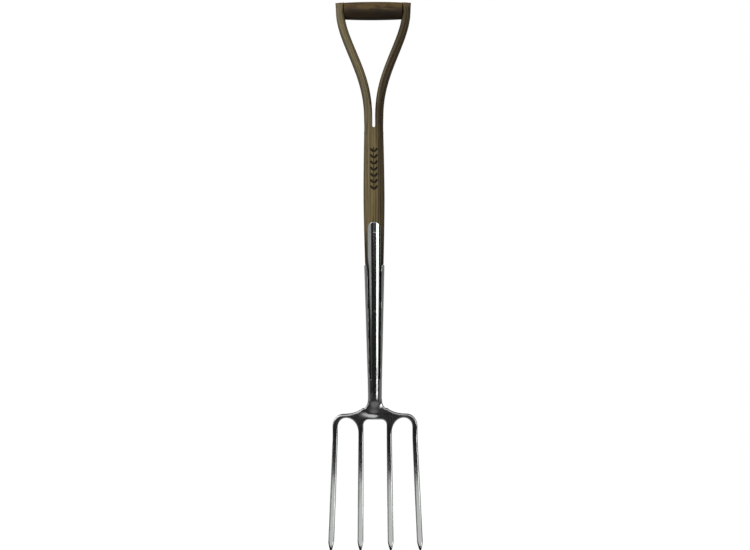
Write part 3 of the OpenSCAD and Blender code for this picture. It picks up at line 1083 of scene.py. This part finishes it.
def plateField(x, y, z, s):
    # the crosshead and the tines, without the neck
    flat = np.full(len(x), farOff)
    tines = z < s["rootZ"] - s["tineDrop"]
    if tines.any():
        zt, xt = z[tines], x[tines]
        outerX = s["halfWidth"] - s["tineWidth"] / 2
        inner = np.abs(xt - tineMiddle(zt, s["innerX"], s["innerSplay"])) - tineHalf(zt)
        outer = np.abs(xt - tineMiddle(zt, outerX, s["outerSplay"])) - tineHalf(zt)
        flat[tines] = np.maximum(np.minimum(inner, outer), tipZ - zt)
    cross = ~tines & (z < s["crossTop"])
    if cross.any():
        flat[cross] = outlineDistance(x[cross], z[cross])
    down = ease((s["shoulderZ"] - s["thinDrop"] - z) / s["thinOver"])
    along = np.clip((s["rootZ"] - z) / (s["rootZ"] - tipZ), 0, 1)
    depth = mix(s["headDepth"], mix(s["rootDepth"], s["endDepth"], along), down)
    # the last stretch of a tine is ground round, like a bullet
    left = np.clip((z - tipZ + s["tipFlat"]) / s["pointLength"], 0, 1)
    depth = depth * np.sqrt(1 - (1 - left) ** 2)
    crown = mix(s["rootCrown"], s["endCrown"], along) * left
    depth = depth - crown * np.clip(1 + flat / (s["tineWidth"] / 2), 0, 1) ** 2
    edge = np.minimum(mix(s["edgeRound"], s["endEdgeRound"], along), s["edgeShare"] * depth)
    return roundedPair(flat, np.abs(y - tineY(z)) - depth, edge)


def headField(p):
    s, k = headSet, socketSet
    x, y, z = np.abs(p[:, 0]), p[:, 1], p[:, 2]
    narrowing = np.clip((k["neckTop"] - z) / (k["neckTop"] - s["neckFootZ"]), 0, s["neckRunOn"])
    neckRadius = mix(k["neckRadius"], s["neckFootRadius"], narrowing)
    squash = mix(1.0, s["squashTo"], ease((s["neckFootZ"] - s["squashDrop"] - z) / s["squashOver"]))
    neck = (np.hypot(x, y / squash) - neckRadius) * squash
    neck = roundedPair(neck, z - k["neckTop"], s["neckRound"])
    neck = np.maximum(neck, s["gapTopZ"] + s["neckStop"] - z)
    upper = np.minimum(neck, frontStrapField(p))
    fillet = mix(s["filletAbove"], s["filletBelow"], ease((s["neckFootZ"] - z) / s["filletOver"]))
    whole = smoothUnion(plateField(x, y, z, s), upper, fillet)
    # the hammer leaves shallow hollows on the front, under the neck and on the left
    for middleX, middleZ, wide, high, deep in s["hammerMarks"]:
        mark = np.exp(-((p[:, 0] - middleX) / wide) ** 2 - ((z - middleZ) / high) ** 2)
        whole = whole + np.where(y < 0, deep, 0) * mark
    return whole


def rearField(p):
    k = socketSet
    x, y, z = p.T
    # wings: all round below the wing top, less the window for the front strap
    wings = roundedPair(np.abs(x) - (k["wingRadius"] + k["wingPast"]), z - k["wingTop"], k["wingRound"])
    window = strapHalf(np.minimum(z, k["waistZ"])) + k["groove"] - np.abs(x)
    wings = np.maximum(wings, np.where(y > 0, -farOff, window))
    capZ = k["tongueTop"] - k["tongueHalf"]
    half = np.where(z > capZ, k["tongueHalf"], strapHalf(np.minimum(z, capZ)))
    tongue = np.maximum(np.hypot(x, np.clip(z - capZ, 0, None)) - half, -y)
    across = smoothUnion(wings, tongue, k["wingFillet"])
    body = roundedPair(strapWall(x, y, z), across, k["edgeRound"])
    return roundedPair(body, k["neckTop"] - z, k["footRound"])


head = forged("tineHead", "tine_head", headField, forgeSet["headVoxel"])
addPiece(head, polished, "polished_steel", "tine_head")
rear = forged("rearStrap", "rear_strap", rearField, forgeSet["strapVoxel"])
addPiece(rear, polished, "polished_steel", "rear_strap")
print("head and socket ready")


strapRivetSet = {
    "head": 0.0052,
    "rings": (0.3, 0.7, 0.93, 1.0),     # from the middle of a head out to its rim
    "proud": 0.00004,           # the heads are dressed flush, all but a hair
    "shank": 0.0035,
    "sink": 0.0025,
    "sharpAngle": 40,
    "sides": 48,
}


def makeStrapRivet(name, cadNode, s):
    low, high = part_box(cadNode)
    middleZ = (low.z + high.z) / 2

    def headRing(side, scale):
        # on the socket's own round
        ring = []
        for cosA, sinA in roundOf(s["sides"]):
            x, dz = s["head"] * scale * cosA, s["head"] * scale * sinA
            r = float(socketRadius(middleZ + dz)) + (s["proud"] if scale < 1 else 0.0)
            ring.append((x, side * math.sqrt(r * r - x * x), middleZ + dz))
        return ring

    def shankRing(side):
        y = side * (float(socketRadius(middleZ)) - s["sink"])
        r = s["shank"]
        return [(r * cosA, y, middleZ + r * sinA) for cosA, sinA in roundOf(s["sides"])]

    front = [headRing(-1, scale) for scale in s["rings"]] + [shankRing(-1)]
    back = [shankRing(1)] + [headRing(1, scale) for scale in reversed(s["rings"])]
    rivet = skinned(name, front + back)
    rivet.data.set_sharp_from_angle(angle=math.radians(s["sharpAngle"]))
    addPiece(rivet, polished, "polished_steel", cadNode)


makeStrapRivet("upperStrapRivet", "upper_strap_rivet", strapRivetSet)
makeStrapRivet("lowerStrapRivet", "lower_strap_rivet", strapRivetSet)
print("strap rivets ready")
